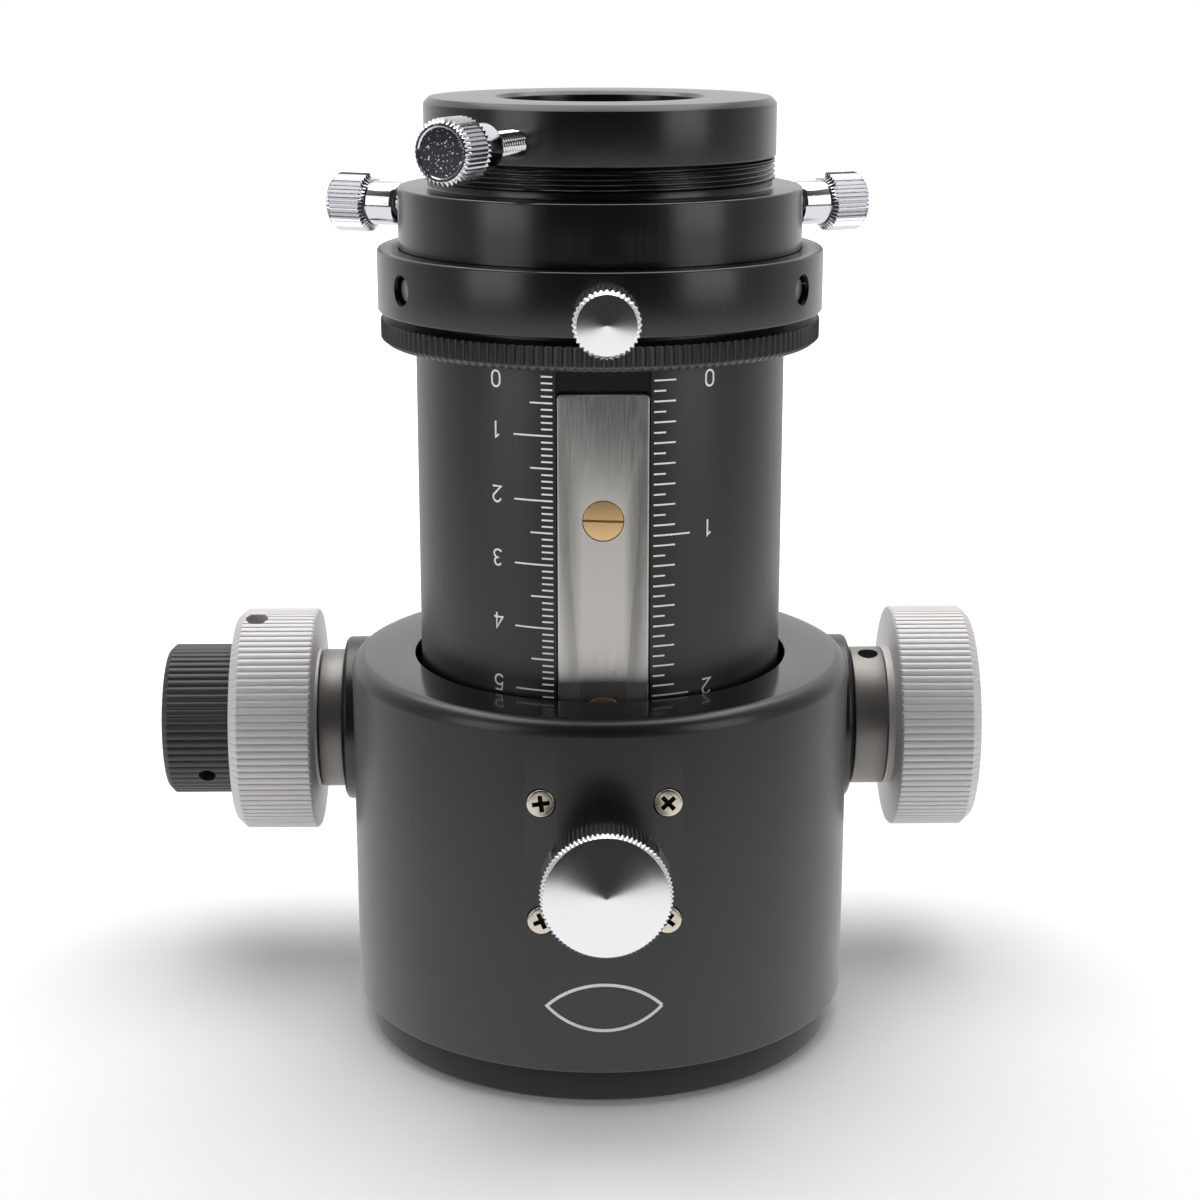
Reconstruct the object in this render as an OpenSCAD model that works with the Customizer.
// Dual-speed telescope focuser: a friction-driven drawtube with a 10:1 ball-reduced fine drive,
// a rotating two-inch eyepiece holder and a reducing adapter, as separate pieces.
// Frame: origin on the drawtube axis at the foot of the spigot, +Z toward the eyepiece,
// -Y toward the engraved scale and the tension knob, the focus shaft behind, along X.

/* [Housing] */
// Wall of the housing, from its through opening to its outside
housing_wall = 10.5; // [9.5:0.5:20]
// Height of the housing top above the foot of the spigot
housing_top = 63; // [60:1:80]
// Clearance round the drawtube in the housing's through opening
opening_gap = 1.02; // [0.7:0.02:1.6]
// Rounding of the top outer edge
top_fillet = 3; // [0.5:0.5:4]
// Outer radius of the mounting spigot
spigot_r = 38.96; // [36:0.02:40]
// Height of the mounting spigot
spigot_h = 5.75; // [3:0.25:10]
// Wall of the sleeve that registers the spigot ring in the housing
register_wall = 4; // [2.5:0.5:5.5]
// Height of that sleeve
register_h = 5; // [3:0.5:6]

/* [Drawtube] */
// Outer radius of the drawtube
tube_r = 29.48; // [29:0.02:36]
// Wall of the drawtube
tube_wall = 3.58; // [3.28:0.02:4]
// Height of the lower end of the drawtube
tube_bottom = 9; // [6:0.5:11]
// Height of the underside of the collar
collar_z = 119.8; // [119.8:0.2:140]
// Length of the drawtube end that seats in the collar
tube_seat = 1.7; // [1:0.1:2.4]
// Width of the steel front plate
plate_w = 14; // [10:0.5:16]
// Thickness of the steel front plate
plate_t = 1.2; // [0.8:0.1:1.4]
// Depth of the plate's face under the front of the tube
plate_inset = 1.08; // [0.88:0.02:1.48]
// Height of the plate's top end
plate_top = 110.4; // [100:0.2:112]
// Height of the plate's bottom end
plate_bottom = 16; // [12:1:24]
// Height of the middle plate screw
plate_screw_z = 60; // [50:1:70]
// Spacing of the plate screws
plate_screw_pitch = 31; // [20:1:36]
// Head radius of a plate screw
plate_screw_r = 3.1; // [2:0.1:3.4]
// Width of the rear drive strip
strip_w = 6; // [4:0.5:8]
// Thickness of the rear drive strip
strip_t = 1.2; // [0.8:0.1:1.4]
// Depth of the strip's face under the back of the tube
strip_inset = 0.53; // [0.4:0.01:0.8]

/* [Focus drive] */
// Radius of the focus shaft
shaft_r = 3; // [2.5:0.1:4]
// Height of the focus shaft
shaft_z = 41; // [30:1:44]
// Radius of the transverse shaft boss
boss_r = 14.65; // [12:0.05:18]
// Half length of the shaft boss
boss_half = 45; // [42:0.5:55]
// Radius of the hubs beside the boss
hub_r = 12.35; // [11:0.05:14]
// Radius of the coarse knobs
coarse_r = 19.8; // [16:0.1:24]
// Length of the left coarse knob
coarse_left_l = 14.3; // [10:0.1:20]
// Length of the right coarse knob
coarse_right_l = 14.1; // [10:0.1:20]
// Teeth around a coarse knob
coarse_teeth = 96; // [40:1:160]
// Radius of the fine knob
fine_r = 13.375; // [10:0.005:18]
// Length of the fine knob
fine_l = 11.9; // [8:0.1:16]
// Teeth around the fine knob
fine_teeth = 60; // [40:1:120]
// Radius of a reducer ball
ball_r = 3; // [2:0.1:3.4]
// Radius of the fine shaft where it drives the balls
sun_r = 0.75; // [0.6:0.05:1.2]
// Radius of the fine shaft in the ball carrier
fine_shaft_r = 1.5; // [1.2:0.1:2]

/* [Tension brake] */
// Height of the tension knob's axis
brake_z = 40.4; // [38:0.2:42]
// Radius of the tension knob
tension_r = 9.95; // [6:0.05:12]
// Distance of the tension knob's face in front of the housing
tension_reach = 14.4; // [13:0.2:21]
// Length of the tension knob's head
tension_l = 6.7; // [4:0.1:9]
// Teeth around the tension knob
tension_teeth = 85; // [30:1:100]
// Radius of the tension screw
tension_screw_r = 3; // [2:0.25:4]
// Sideways spacing of the brake carrier screws
carrier_screw_w = 19.3; // [18:0.1:20]
// Upright spacing of the brake carrier screws
carrier_screw_h = 19; // [17.5:0.1:20]

/* [Guide rollers] */
// Radius of a guide roller
roller_r = 5; // [4:0.5:5.5]
// Width of a guide roller
roller_w = 4; // [3:0.5:5]
// Radius of a roller pin
pin_r = 1.5; // [1:0.1:2]
// Angle of the rollers either side of the front
roller_angle = 40; // [36:1:50]
// Height of the lower pair of rollers
roller_low_z = 17.5; // [17:0.5:20]
// Height of the upper pair of rollers
roller_high_z = 54; // [50:0.5:56]

/* [Rotator and eyepiece holder] */
// Width of the lock ring, from the tube to the tips of its teeth
lock_ring_wall = 5.52; // [3.5:0.02:8.5]
// Height of the lock ring
lock_ring_h = 3.75; // [2.5:0.25:4]
// Gap between the lock ring and the collar
lock_ring_gap = 1.3; // [0.5:0.1:2]
// Teeth around the lock ring
lock_ring_teeth = 150; // [60:1:170]
// Wall of the collar round the eyepiece holder
collar_wall = 3.4; // [2.5:0.1:6]
// Height of the collar
collar_h = 9.7; // [9:0.1:14]
// Radius of the eyepiece holder
holder_r = 31.96; // [31:0.02:33]
// Height of the holder above the collar
holder_h = 9.5; // [9:0.1:14]
// Bore radius of the eyepiece holder
holder_bore_r = 25.45; // [25.42:0.01:25.5]
// Radius of the threaded neck
neck_r = 27.6; // [27.2:0.1:29]
// Height of the threaded neck
neck_h = 4.4; // [3:0.1:6]
// Angle of the holder thumbscrews either side of the front
holder_screw_angle = 114.5; // [90:0.5:150]

/* [Reducing adapter] */
// Radius of the adapter's flange
flange_r = 27.7; // [27:0.1:30]
// Height of the adapter's flange
flange_h = 9.16; // [8:0.02:14]
// Radius of the barrel that slides in the holder
barrel_r = 25.4; // [25.3:0.01:25.41]
// Length of that barrel
barrel_l = 28; // [20:1:32]
// Bore radius of the adapter
eyepiece_bore_r = 15.93; // [15.9:0.01:16]
// Angle of the adapter thumbscrew from the front
adapter_screw_angle = -28; // [-60:1:60]

/* [Thumbscrews] */
// Head radius of a thumbscrew
thumb_head_r = 4.8; // [4:0.1:6]
// Head length of a thumbscrew
thumb_head_l = 7; // [5:0.1:9]
// Shoulder radius of a thumbscrew
thumb_shoulder_r = 3.6; // [3:0.1:4]
// Shoulder length of a thumbscrew
thumb_shoulder_l = 5.3; // [3:0.1:6]
// Length of bare thread outside the eyepiece holder
thumb_reach = 3.2; // [3:0.1:9]
// Length of bare thread outside the reducing adapter
adapter_reach = 9.1; // [7:0.1:12]
// Thread radius of a thumbscrew
thumb_thread_r = 2; // [1.5:0.1:2.5]
// Teeth around a thumbscrew
thumb_teeth = 40; // [16:1:48]
// Head radius of the collar lock knob
lock_knob_r = 4.9; // [4:0.1:6]
// Head length of the collar lock knob
lock_knob_l = 9; // [6:0.1:12]
// Teeth around the collar lock knob
lock_knob_teeth = 36; // [16:1:48]
// Distance of the collar lock knob's inner face from the collar
lock_knob_reach = 10.6; // [8:0.1:14]

/* [Fits] */
// Radial clearance of a running or sliding fit
run = 0.04; // [0.01:0.01:0.08]
// Clearance between pieces that are fastened together
seat = 0.02; // [0.01:0.01:0.04]
// Gap between faces that pass each other
gap = 0.3; // [0.2:0.05:0.5]
// Gap where a rolling or rubbing surface meets its track
track = 0.05; // [0.03:0.01:0.1]

/* [Hidden] */
$fn = 96;

eps = 0.01;
far = 200;

// Knurls: depth of the teeth on knobs and small heads, and how far a plain end lies under their roots
knob_tooth = 0.5;
head_tooth = 0.3;
tooth_root = 0.06;
coarse_edge = 0.4;
coarse_chamfer = 1.6;
fine_edge = 0.8;
tension_edge = 0.5;
thumb_edge = 0.6;
lock_knob_edge = 0.7;

// Drawtube: the plate and the strip lie on flats, and the strip's face meets the shaft
tube_bore_r = tube_r - tube_wall;
tube_top = collar_z + tube_seat;
slot_top = collar_z - lock_ring_gap - lock_ring_h - 0.25;
plate_face = tube_r - plate_inset;
plate_back = plate_face - plate_t;
strip_face = tube_r - strip_inset;
shaft_y = strip_face + shaft_r + track;
strip_back = strip_face - strip_t;
strip_bottom = shaft_z - 14;
strip_top = slot_top - 12;
strip_screw_r = 1.8;
strip_screw_z = [strip_bottom + 4, strip_top - 4];
plate_screw_shank_r = 1.5;
plate_screw_heights = [for (i = [-1:1]) plate_screw_z + i * plate_screw_pitch];

// Housing round the drawtube
opening_r = tube_r + opening_gap;
housing_r = opening_r + housing_wall;
register_r = opening_r + register_wall;

// Guide rollers roll on the tube either side of the front
roller_orbit = tube_r + roller_r + track;
roller_places = [
    [-roller_angle, roller_low_z], [roller_angle, roller_low_z],
    [-roller_angle, roller_high_z], [roller_angle, roller_high_z]
];
pin_l = roller_w + 5;

// Brake: a carrier in a pocket behind the front wall holds the sliding pad
carrier_half_w = carrier_screw_w / 2 + 3.25;
carrier_half_h = carrier_screw_h / 2 + 4.8;
carrier_out = housing_r - 4.6;
carrier_back = opening_r - 6.1;
tension_face = housing_r + tension_reach;
pad_half_w = plate_w / 2 - 1.25;
pad_half_h = carrier_screw_h / 2 - 2.5;
pad_out = carrier_out - 1.4;
carrier_screw_head_r = 2.2;
carrier_screw_shank_r = 1.25;
carrier_screw_face = sqrt(pow(housing_r, 2) - pow(carrier_screw_w / 2, 2)) + 0.35;

// Focus drive, from left to right along X
race_out = -(boss_half + 4.2);
race_in = -(boss_half - 9);
race_seat_r = 9;
race_bore_r = sun_r + 2 * ball_r;
ball_x = -boss_half;
ball_orbit = sun_r + ball_r;
cage_r = race_bore_r - 0.25;
cage_out = race_out + 0.2;
cage_in = ball_x + ball_r + 1.7;
carrier_tube_r = 5;
carrier_neck_r = shaft_r + 1.5;
left_knob_in = -(boss_half + 5);
left_knob_out = left_knob_in - coarse_left_l;
fine_in = left_knob_out - 0.5;
fine_out = fine_in - fine_l;
hub_right_in = boss_half + 0.5;
hub_right_out = hub_right_in + 5.8;
right_knob_in = hub_right_out + 1.4;
right_knob_out = right_knob_in + coarse_right_l;
shaft_left = cage_in - 1.4;
shaft_right = right_knob_out - 1.2;
bush_r = shaft_r + 2;
bush_l = 9;
knob_screw_r = 1.5;
knob_screw_hole_r = 2;
knob_screw_tilt = 10;
right_screw_tilt = -130;
left_knob_screw_x = left_knob_out + 3.9;
hub_screw_x = hub_right_in + 3.1;
right_knob_screw_x = right_knob_out - 3.3;
fine_screw_x = fine_in - 4.4;
fine_screw_tilt = 123;
fine_screw_r = 1.25;
fine_screw_l = 6;
fine_shaft_seat = 1.5;

// Rotator, holder and adapter heights
lock_ring_r = tube_r + lock_ring_wall;
lock_ring_z = collar_z - lock_ring_gap - lock_ring_h;
collar_top = collar_z + collar_h;
cup_z = tube_top + 1;
cup_r = holder_r + run;
collar_r = max(cup_r, tube_r) + collar_wall;
collar_lip_r = min(tube_bore_r + 0.3, cup_r - 2);
groove_z = [cup_z + 0.6, cup_z + 3.4];
groove_r = holder_r - 1.8;
collar_screw_z = groove_z[0] + 1.5;
collar_screw_angle = 60;
tip_r = 0.9;
tip_at = groove_r + 0.4;
holder_top = collar_top + holder_h;
holder_screw_z = collar_top + holder_h / 2 + 0.45;
holder_ring_half = 2.4;
holder_ring_in = barrel_r + 0.15;
holder_ring_out = holder_ring_in + 0.95;
neck_top = holder_top + neck_h;
flange_z = neck_top + 0.2;
flange_top = flange_z + flange_h;
adapter_screw_z = flange_z + flange_h / 2 - 1;
adapter_ring_half = 2.4;
adapter_ring_in = eyepiece_bore_r;
adapter_ring_out = adapter_ring_in + 0.95;
barrel_z = flange_z - barrel_l;
lock_knob_in = collar_r + lock_knob_reach;

// A cylinder about the tube axis from height z0 to z1
module upright(r, z0, z1) translate([0, 0, z0]) cylinder(r = r, h = z1 - z0);

// A plain ring about the tube axis
module band(r_out, r_in, z0, z1) difference() {
    upright(r_out, z0, z1);
    upright(r_in, z0 - 1, z1 + 1);
}

// A cylinder along X about the focus shaft's axis
module turned(r, x0, x1) translate([x0, shaft_y, shaft_z]) rotate([0, 90, 0]) cylinder(r = r, h = x1 - x0);

// Turns what faces the front to another angle, positive toward +X
module facing(angle) rotate([0, 0, angle]) children();

// A cylinder that points forward, from radius from_r out to radius to_r
module forward(r, from_r, to_r, z, x = 0) translate([x, -from_r, z]) rotate([90, 0, 0])
    cylinder(r = r, h = to_r - from_r);

// A cone that points forward
module forward_cone(r0, r1, from_r, to_r, z) translate([0, -from_r, z]) rotate([90, 0, 0])
    cylinder(r1 = r0, r2 = r1, h = to_r - from_r);

// A round bar with straight triangular teeth, its tips at radius r, along +Z from 0
module toothed(r, h, teeth, depth) linear_extrude(h) polygon([
    for (i = [0:teeth - 1], k = [0, 1])
        let (a = 360 * (i + k / 2) / teeth, q = r - k * depth) [q * cos(a), q * sin(a)]
]);

// A toothed head between two plain chamfered ends, along +Z from 0
module knurled_head(r, h, teeth, depth, edge, chamfer) {
    root = r - depth - tooth_root;
    cylinder(r1 = min(r - edge, root), r2 = root, h = edge);
    translate([0, 0, edge]) toothed(r, h - edge - chamfer, teeth, depth);
    translate([0, 0, h - chamfer]) cylinder(r1 = root, r2 = min(r - chamfer, root), h = chamfer);
}

// A knurled knob about the focus shaft's axis, from its inner face at x0 to its outer face at x1
module drive_knob(r, x0, x1, teeth, edge, chamfer) translate([x0, shaft_y, shaft_z])
    rotate([0, x1 > x0 ? 90 : -90, 0]) knurled_head(r, abs(x1 - x0), teeth, knob_tooth, edge, chamfer);

// A radial cylinder on the focus shaft's axis at x, tilted forward from the top
module drive_radial(r, x, from_r, to_r, tilt = knob_screw_tilt) translate([x, shaft_y, shaft_z]) rotate([tilt, 0, 0])
    translate([0, 0, from_r]) cylinder(r = r, h = to_r - from_r);

// One thumbscrew that points forward, its tip at from_r and its thread bare up to shoulder_r
module thumbscrew(from_r, shoulder_at, z) {
    forward(thumb_thread_r, from_r, shoulder_at + eps, z);
    forward(thumb_shoulder_r, shoulder_at, shoulder_at + thumb_shoulder_l + eps, z);
    translate([0, -(shoulder_at + thumb_shoulder_l), z]) rotate([90, 0, 0])
        knurled_head(thumb_head_r, thumb_head_l, thumb_teeth, head_tooth, thumb_edge, thumb_edge);
}

module housing() color("#2e2e31") difference() {
    union() {
        upright(housing_r, spigot_h, housing_top - top_fillet);
        rotate_extrude() union() {
            square([housing_r - top_fillet, housing_top]);
            intersection() {
                translate([housing_r - top_fillet, housing_top - top_fillet]) circle(top_fillet);
                translate([housing_r - top_fillet, housing_top - top_fillet]) square(top_fillet);
            }
        }
        turned(boss_r - 0.8, -boss_half, boss_half);
        turned(boss_r, -boss_half + 0.8, boss_half - 0.8);
    }
    upright(far, -1, spigot_h);
    upright(opening_r, 0, far);
    upright(register_r + seat, spigot_h - 1, spigot_h + register_h + gap);
    for (p = roller_places) facing(p[0]) {
        translate([-roller_w / 2 - gap, -(roller_orbit + roller_r + gap), p[1] - roller_r - gap])
            cube([roller_w + 2 * gap, roller_orbit + roller_r + gap - opening_r + 3, 2 * (roller_r + gap)]);
        translate([0, -roller_orbit, p[1]]) rotate([0, 90, 0])
            cylinder(r = pin_r + seat, h = pin_l + 2 * seat, center = true);
    }
    translate([-carrier_half_w - seat, -carrier_out - seat, brake_z - carrier_half_h - seat])
        cube([2 * (carrier_half_w + seat), carrier_out - carrier_back, 2 * (carrier_half_h + seat)]);
    forward(tension_screw_r + run, opening_r, far, brake_z);
    for (x = [-1, 1], z = [-1, 1]) {
        forward(carrier_screw_shank_r + seat, opening_r, far,
            brake_z + z * carrier_screw_h / 2, x * carrier_screw_w / 2);
        forward(carrier_screw_head_r + seat, carrier_screw_face - 1.5, far,
            brake_z + z * carrier_screw_h / 2, x * carrier_screw_w / 2);
    }
    turned(shaft_r + 0.6, -far, far);
    turned(carrier_neck_r + gap, -far, race_in);
    turned(race_seat_r + seat, -far, race_in + seat);
    turned(bush_r + seat, race_in, race_in + bush_l + gap);
    turned(bush_r + seat, boss_half - bush_l, far);
    for (a = [-100, 100, 180]) facing(a) forward(1.25 + seat, opening_r, far, spigot_h + register_h / 2);
    translate([ball_x + 5, shaft_y, shaft_z - far]) cylinder(r = 1.5 + seat, h = far);
}

module tube_adapter() color("#29292c") difference() {
    union() {
        upright(spigot_r, 0, spigot_h);
        upright(register_r, spigot_h - eps, spigot_h + register_h);
    }
    upright(opening_r, -1, far);
    for (a = [-100, 100, 180]) facing(a) forward(1.25 + seat, 0, far, spigot_h + register_h / 2);
}

module adapter_ring_screws() color("#8f9093") for (a = [-100, 100, 180]) facing(a)
    forward(1.25, opening_r + 0.6, housing_r - 0.4, spigot_h + register_h / 2);

module brake_carrier() color("#9b9da0") difference() {
    translate([-carrier_half_w, -carrier_out, brake_z - carrier_half_h])
        cube([2 * carrier_half_w, carrier_out - carrier_back, 2 * carrier_half_h]);
    upright(opening_r, 0, far);
    translate([-pad_half_w - seat, -far, brake_z - pad_half_h - seat])
        cube([2 * (pad_half_w + seat), far, 2 * (pad_half_h + seat)]);
    for (x = [-1, 1], z = [-1, 1]) forward(carrier_screw_shank_r + seat, 0, far,
        brake_z + z * carrier_screw_h / 2, x * carrier_screw_w / 2);
}

module brake_carrier_screws() color("#c9c4b8") for (x = [-1, 1], z = [-1, 1])
    translate([x * carrier_screw_w / 2, 0, brake_z + z * carrier_screw_h / 2]) difference() {
        union() {
            forward(carrier_screw_shank_r, opening_r + 0.6, carrier_screw_face - 1, 0);
            forward(carrier_screw_head_r, carrier_screw_face - 1.5, carrier_screw_face, 0);
        }
        for (a = [0, 90]) rotate([0, a, 0]) translate([-1.3, -far, -0.3])
            cube([2.6, far - carrier_screw_face + 0.8, 0.6]);
    }

module brake_pad() color("#c8b48a")
    translate([-pad_half_w, -pad_out, brake_z - pad_half_h])
        cube([2 * pad_half_w, pad_out - plate_face - 2 * track, 2 * pad_half_h]);

module roller_pins() color("#a9abad") for (p = roller_places) facing(p[0])
    translate([0, -roller_orbit, p[1]]) rotate([0, 90, 0]) cylinder(r = pin_r, h = pin_l, center = true);

module guide_roller(place) color("#b9bcbf") facing(place[0])
    translate([0, -roller_orbit, place[1]]) rotate([0, 90, 0]) difference() {
        cylinder(r = roller_r, h = roller_w, center = true);
        cylinder(r = pin_r + run, h = 2 * roller_w, center = true);
        for (s = [-1, 1]) translate([0, 0, s * roller_w / 2]) difference() {
            cylinder(r = roller_r - 0.9, h = 0.5, center = true);
            cylinder(r = pin_r + 0.9, h = 1, center = true);
        }
    }

module tension_knob() color("#d5d5d6") {
    forward(tension_screw_r, pad_out + gap, tension_face - tension_l + 1, brake_z);
    forward(tension_screw_r + 2, tension_face - tension_l - 4, tension_face - tension_l + 1, brake_z);
    translate([0, -(tension_face - tension_l), brake_z]) rotate([90, 0, 0])
        knurled_head(tension_r, tension_l, tension_teeth, head_tooth, tension_edge, tension_edge);
}

module shaft_bush(x0) color("#b08a4a") difference() {
    turned(bush_r, x0, x0 + bush_l);
    turned(shaft_r + run, x0 - 1, x0 + bush_l + 1);
}

module shaft_bush_left() shaft_bush(race_in + gap);

module shaft_bush_right() shaft_bush(boss_half - bush_l + seat);

module reducer_race() color("#c4bfb6") difference() {
    union() {
        turned(hub_r, race_out, -boss_half - 0.1);
        turned(race_seat_r, race_out, race_in);
    }
    turned(race_bore_r + track, race_out - 1, cage_in + gap);
    turned(carrier_neck_r + gap, race_out, race_in + 1);
}

module race_screw() color("#8f9093")
    translate([ball_x + 5, shaft_y, shaft_z - boss_r + 0.4]) cylinder(r = 1.5, h = boss_r - race_seat_r - 0.45);

module focus_shaft() color("#b5b7ba") turned(shaft_r, shaft_left, shaft_right);

module ball_carrier() color("#a7a9ac") difference() {
    union() {
        turned(cage_r, cage_out, cage_in);
        turned(carrier_neck_r, cage_in - 1, cage_in + 1.8);
        turned(carrier_tube_r, left_knob_out + 0.6, cage_out + 1);
    }
    turned(shaft_r + seat, shaft_left - seat, 0);
    turned(fine_shaft_r + run, -far, ball_x + ball_r);
    for (i = [0:2]) translate([ball_x, shaft_y, shaft_z]) rotate([120 * i, 0, 0])
        cylinder(r = ball_r + 0.1, h = far);
}

module coarse_knob_left() color("#d0d0cf") difference() {
    union() {
        drive_knob(coarse_r, left_knob_in, left_knob_out, coarse_teeth, coarse_edge, coarse_chamfer);
        turned(hub_r, left_knob_in - 1, left_knob_in + 0.5);
    }
    turned(carrier_tube_r + seat, -far, 0);
    turned(fine_r + 0.6, left_knob_out - 1, left_knob_out + 0.8);
    drive_radial(knob_screw_r + seat, left_knob_screw_x, 0, coarse_r);
    drive_radial(knob_screw_hole_r, left_knob_screw_x, carrier_tube_r + 5, far);
}

module coarse_knob_right() color("#d0d0cf") difference() {
    union() {
        drive_knob(coarse_r, right_knob_in, right_knob_out, coarse_teeth, coarse_edge, coarse_chamfer);
        turned(hub_r, hub_right_out + 0.1, right_knob_in + 1);
    }
    turned(shaft_r + seat, 0, far);
    turned(coarse_r - 4, right_knob_out - 0.8, far);
    drive_radial(knob_screw_r + seat, right_knob_screw_x, 0, coarse_r, right_screw_tilt);
    drive_radial(knob_screw_hole_r, right_knob_screw_x, shaft_r + 5, far, right_screw_tilt);
}

module shaft_hub_right() color("#c4bfb6") difference() {
    turned(hub_r, hub_right_in, hub_right_out);
    turned(shaft_r + seat, 0, far);
    drive_radial(knob_screw_r + seat, hub_screw_x, 0, hub_r);
    drive_radial(knob_screw_hole_r - 0.2, hub_screw_x, shaft_r + 5, far);
}

module coarse_knob_screws() color("#77787b") {
    drive_radial(knob_screw_r, left_knob_screw_x, carrier_tube_r + seat, carrier_tube_r + 4.5);
    drive_radial(knob_screw_r, hub_screw_x, shaft_r + seat, shaft_r + 4.5);
    drive_radial(knob_screw_r, right_knob_screw_x, shaft_r + seat, shaft_r + 4.5, right_screw_tilt);
}

module reducer_ball(i) color("#c9cbcd") translate([ball_x, shaft_y, shaft_z]) rotate([120 * i, 0, 0])
    translate([0, 0, ball_orbit + track / 2]) sphere(ball_r);

module fine_shaft() color("#b5b7ba") {
    turned(sun_r - track / 2, ball_x - ball_r - 0.5, ball_x + ball_r - 0.3);
    turned(fine_shaft_r, fine_out + fine_shaft_seat, ball_x - ball_r - 0.4);
}

module fine_knob() color("#303033") difference() {
    drive_knob(fine_r, fine_in, fine_out, fine_teeth, fine_edge, fine_edge);
    turned(fine_shaft_r + seat, fine_out + fine_shaft_seat - seat, 0);
    rotate_fine_screw() translate([0, 0, fine_shaft_r]) cylinder(r = fine_screw_r + seat, h = far);
}

// Places a radial piece on the fine knob, low on its front side
module rotate_fine_screw() translate([fine_screw_x, shaft_y, shaft_z]) rotate([fine_screw_tilt, 0, 0]) children();

module fine_knob_screw() color("#77787b") rotate_fine_screw()
    translate([0, 0, fine_shaft_r + seat]) cylinder(r = fine_screw_r, h = fine_screw_l);

module drawtube() color("#232326") difference() {
    upright(tube_r, tube_bottom, tube_top);
    upright(tube_bore_r, 0, far);
    translate([-plate_w / 2 - seat, -far, tube_bottom - 1])
        cube([plate_w + 2 * seat, far - plate_back + seat, slot_top - tube_bottom + 1]);
    translate([-strip_w / 2 - seat, strip_back - seat, strip_bottom - seat])
        cube([strip_w + 2 * seat, far, strip_top - strip_bottom + 2 * seat]);
    translate([-far, strip_face, strip_bottom - seat]) cube([2 * far, far, strip_top - strip_bottom + 2 * seat]);
    for (z = plate_screw_heights) forward(plate_screw_shank_r + seat, 0, far, z);
    for (z = strip_screw_z) facing(180) forward(1 + seat, 0, far, z);
}

module front_plate() color("#bdbbb8") difference() {
    intersection() {
        translate([-plate_w / 2, -plate_face, plate_bottom])
            cube([plate_w, plate_t, plate_top - plate_bottom]);
        upright(tube_r - 0.05, 0, far);
    }
    for (z = plate_screw_heights) {
        forward(plate_screw_shank_r + seat, 0, far, z);
        forward_cone(plate_screw_r - 1 + seat, plate_screw_r + seat, plate_face - 1, plate_face, z);
    }
}

module front_plate_screws() color("#b8924a") for (z = plate_screw_heights) difference() {
    union() {
        forward(plate_screw_shank_r, tube_bore_r + 0.1, plate_face - 0.5, z);
        forward_cone(plate_screw_r - 1, plate_screw_r, plate_face - 1, plate_face - eps, z);
    }
    translate([-plate_screw_r - 1, -far, z - 0.4]) cube([2 * plate_screw_r + 2, far - plate_face + 0.5, 0.8]);
}

module drive_strip() color("#a9abad") difference() {
    translate([-strip_w / 2, strip_back, strip_bottom]) cube([strip_w, strip_t, strip_top - strip_bottom]);
    for (z = strip_screw_z) facing(180) {
        forward(1 + seat, 0, far, z);
        forward_cone(1 + seat, strip_screw_r + seat, strip_face - 0.8, strip_face, z);
    }
}

module drive_strip_screws() color("#8f9093") for (z = strip_screw_z) facing(180) {
    forward(1, tube_bore_r + 0.1, strip_face - 0.4, z);
    forward_cone(1, strip_screw_r, strip_face - 0.8, strip_face - eps, z);
}

module tube_baffle() color("#1f1f21") difference() {
    band(tube_bore_r - seat, tube_bore_r - 4, tube_bottom + 3, tube_bottom + 9);
    upright(tube_bore_r - 1.2, tube_bottom + 4, tube_bottom + 10);
}

module collar() color("#29292c") difference() {
    union() {
        upright(collar_r, collar_z, collar_top - 0.6);
        upright(collar_r - 0.5, collar_z, collar_top);
    }
    upright(tube_r + seat, 0, tube_top);
    upright(collar_lip_r, 0, far);
    upright(cup_r, cup_z, far);
    for (a = [-collar_screw_angle, collar_screw_angle, 180]) facing(a) {
        forward(1.65 + seat, 0, far, collar_screw_z);
        forward(2.35, collar_r - 1.5, far, collar_screw_z);
    }
    forward(thumb_thread_r + run, 0, far, collar_screw_z);
}

module collar_screws() color("#a9abad") for (a = [-collar_screw_angle, collar_screw_angle, 180]) facing(a) {
    forward(tip_r, tip_at, cup_r + 1, collar_screw_z);
    forward(1.65, cup_r + 0.1, collar_r - 0.9, collar_screw_z);
}

module lock_ring() color("#232326") difference() {
    union() {
        upright(lock_ring_r - knob_tooth - tooth_root, lock_ring_z, lock_ring_z + lock_ring_h);
        translate([0, 0, lock_ring_z + 0.6]) toothed(lock_ring_r, lock_ring_h - 0.8, lock_ring_teeth, knob_tooth);
    }
    upright(tube_r + run, 0, far);
}

module collar_lock_knob() color("#d0d0cf") {
    forward(tip_r, tip_at, cup_r + 1, collar_screw_z);
    forward(thumb_thread_r, cup_r + 0.3, lock_knob_in + 1, collar_screw_z);
    translate([0, -lock_knob_in, collar_screw_z]) rotate([90, 0, 0])
        knurled_head(lock_knob_r, lock_knob_l, lock_knob_teeth, head_tooth, lock_knob_edge, lock_knob_edge);
}

module eyepiece_holder() color("#29292c") difference() {
    union() {
        upright(holder_r, cup_z + 0.1, holder_top);
        upright(neck_r, holder_top - 1, neck_top);
    }
    upright(holder_bore_r, 0, far);
    band(holder_r + 1, groove_r, groove_z[0], groove_z[1]);
    upright(holder_ring_out + 0.1, holder_screw_z - holder_ring_half - 0.1, holder_screw_z + holder_ring_half + 0.1);
    for (i = [0:3]) band(neck_r + 1, neck_r - 0.35, holder_top + 1.2 + 0.8 * i, holder_top + 1.6 + 0.8 * i);
    for (s = [-1, 1]) facing(s * holder_screw_angle) forward(thumb_thread_r + run, 0, far, holder_screw_z);
}

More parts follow.
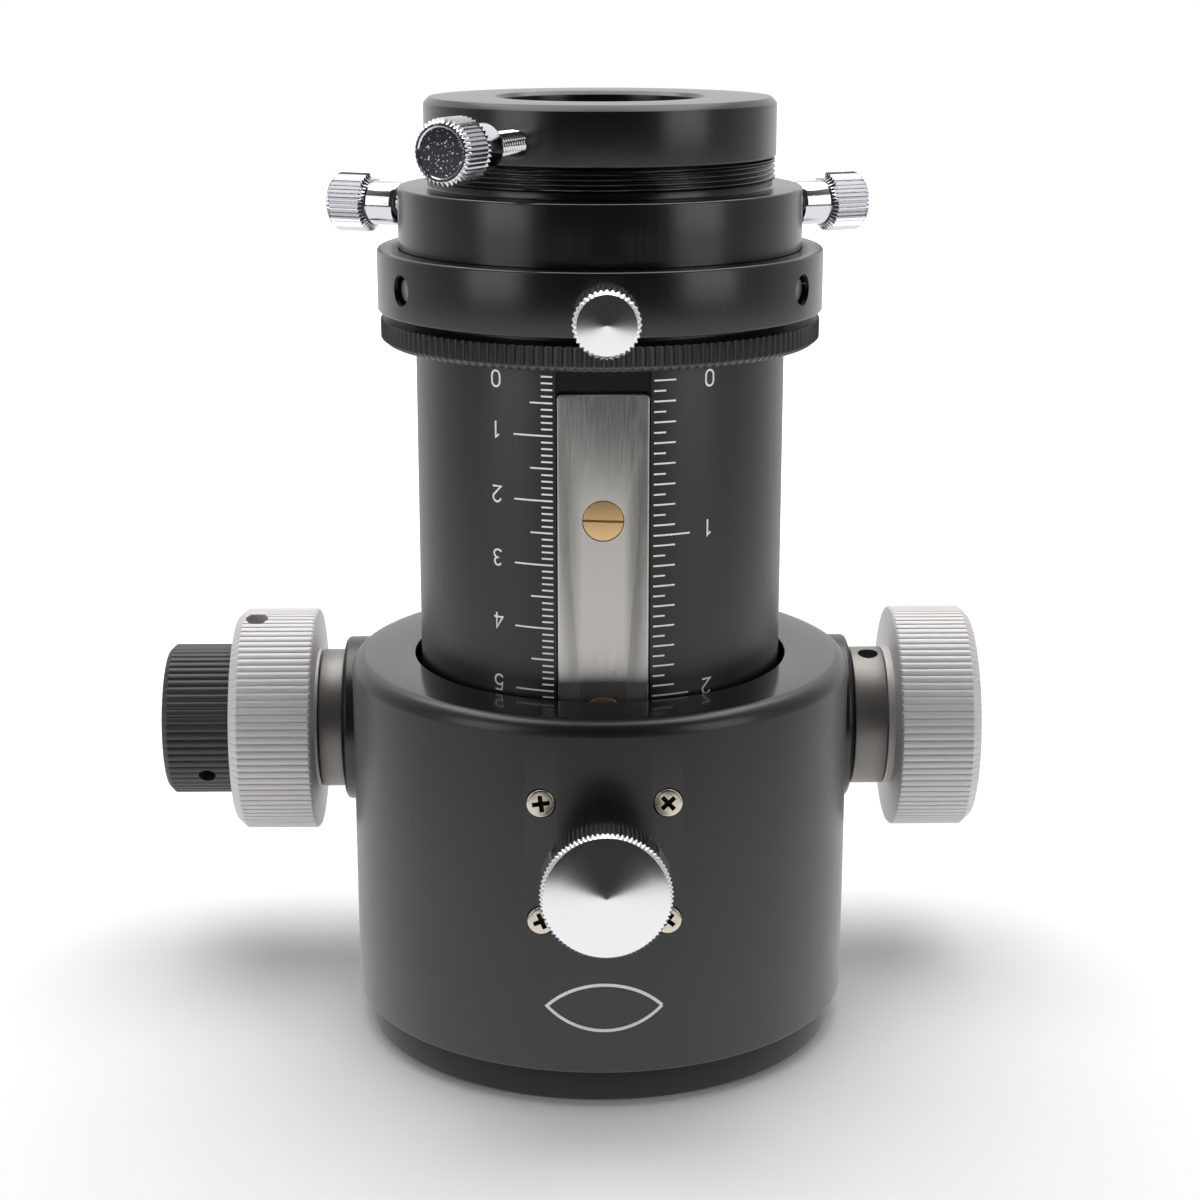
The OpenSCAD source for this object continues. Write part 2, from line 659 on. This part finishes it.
// A split clamp ring, open at the front
module clamp_ring(r_in, r_out, z, half) color("#c39a4c") difference() {
    band(r_out, r_in, z - half, z + half);
    translate([-1, -far, z - half - 1]) cube([2, far, 2 * half + 2]);
}

module holder_clamp_ring() clamp_ring(holder_ring_in, holder_ring_out, holder_screw_z, holder_ring_half);

module holder_thumbscrew(side) color("#cfd0d2") facing(side * holder_screw_angle)
    thumbscrew(holder_ring_out + gap, holder_r + thumb_reach, holder_screw_z);

module reducing_adapter() color("#29292c") difference() {
    union() {
        upright(flange_r - 0.9, flange_z, flange_top);
        upright(flange_r, flange_z, flange_top - 0.9);
        upright(barrel_r, barrel_z, flange_z + 1);
    }
    upright(eyepiece_bore_r, 0, far);
    translate([0, 0, flange_top - 0.6]) cylinder(r1 = eyepiece_bore_r, r2 = eyepiece_bore_r + 0.7, h = 0.7);
    upright(barrel_r - 2, barrel_z - 1, barrel_z + 9);
    band(barrel_r + 1, barrel_r - 0.6, holder_screw_z - 3.2, holder_screw_z + 3.2);
    upright(adapter_ring_out + 0.1, adapter_screw_z - adapter_ring_half - 0.1, adapter_screw_z + adapter_ring_half + 0.1);
    facing(adapter_screw_angle) forward(thumb_thread_r + run, 0, far, adapter_screw_z);
}

module adapter_clamp_ring() rotate([0, 0, 120])
    clamp_ring(adapter_ring_in, adapter_ring_out, adapter_screw_z, adapter_ring_half);

module adapter_thumbscrew() color("#cfd0d2") facing(adapter_screw_angle)
    thumbscrew(adapter_ring_out + gap, flange_r + adapter_reach, adapter_screw_z);

housing();
tube_adapter();
adapter_ring_screws();
brake_carrier();
brake_carrier_screws();
brake_pad();
roller_pins();
shaft_bush_left();
shaft_bush_right();
reducer_race();
race_screw();
guide_roller(roller_places[0]);  // guide_roller_1
guide_roller(roller_places[1]);  // guide_roller_2
guide_roller(roller_places[2]);  // guide_roller_3
guide_roller(roller_places[3]);  // guide_roller_4
tension_knob();
focus_shaft();
ball_carrier();
coarse_knob_left();
coarse_knob_right();
shaft_hub_right();
coarse_knob_screws();
reducer_ball(0);  // reducer_ball_1
reducer_ball(1);  // reducer_ball_2
reducer_ball(2);  // reducer_ball_3
fine_shaft();
fine_knob();
fine_knob_screw();
drawtube();
front_plate();
front_plate_screws();
drive_strip();
drive_strip_screws();
tube_baffle();
collar();
collar_screws();
lock_ring();
collar_lock_knob();
eyepiece_holder();
holder_clamp_ring();
holder_thumbscrew(-1);  // holder_thumbscrew_left
holder_thumbscrew(1);  // holder_thumbscrew_right
reducing_adapter();
adapter_clamp_ring();
adapter_thumbscrew();
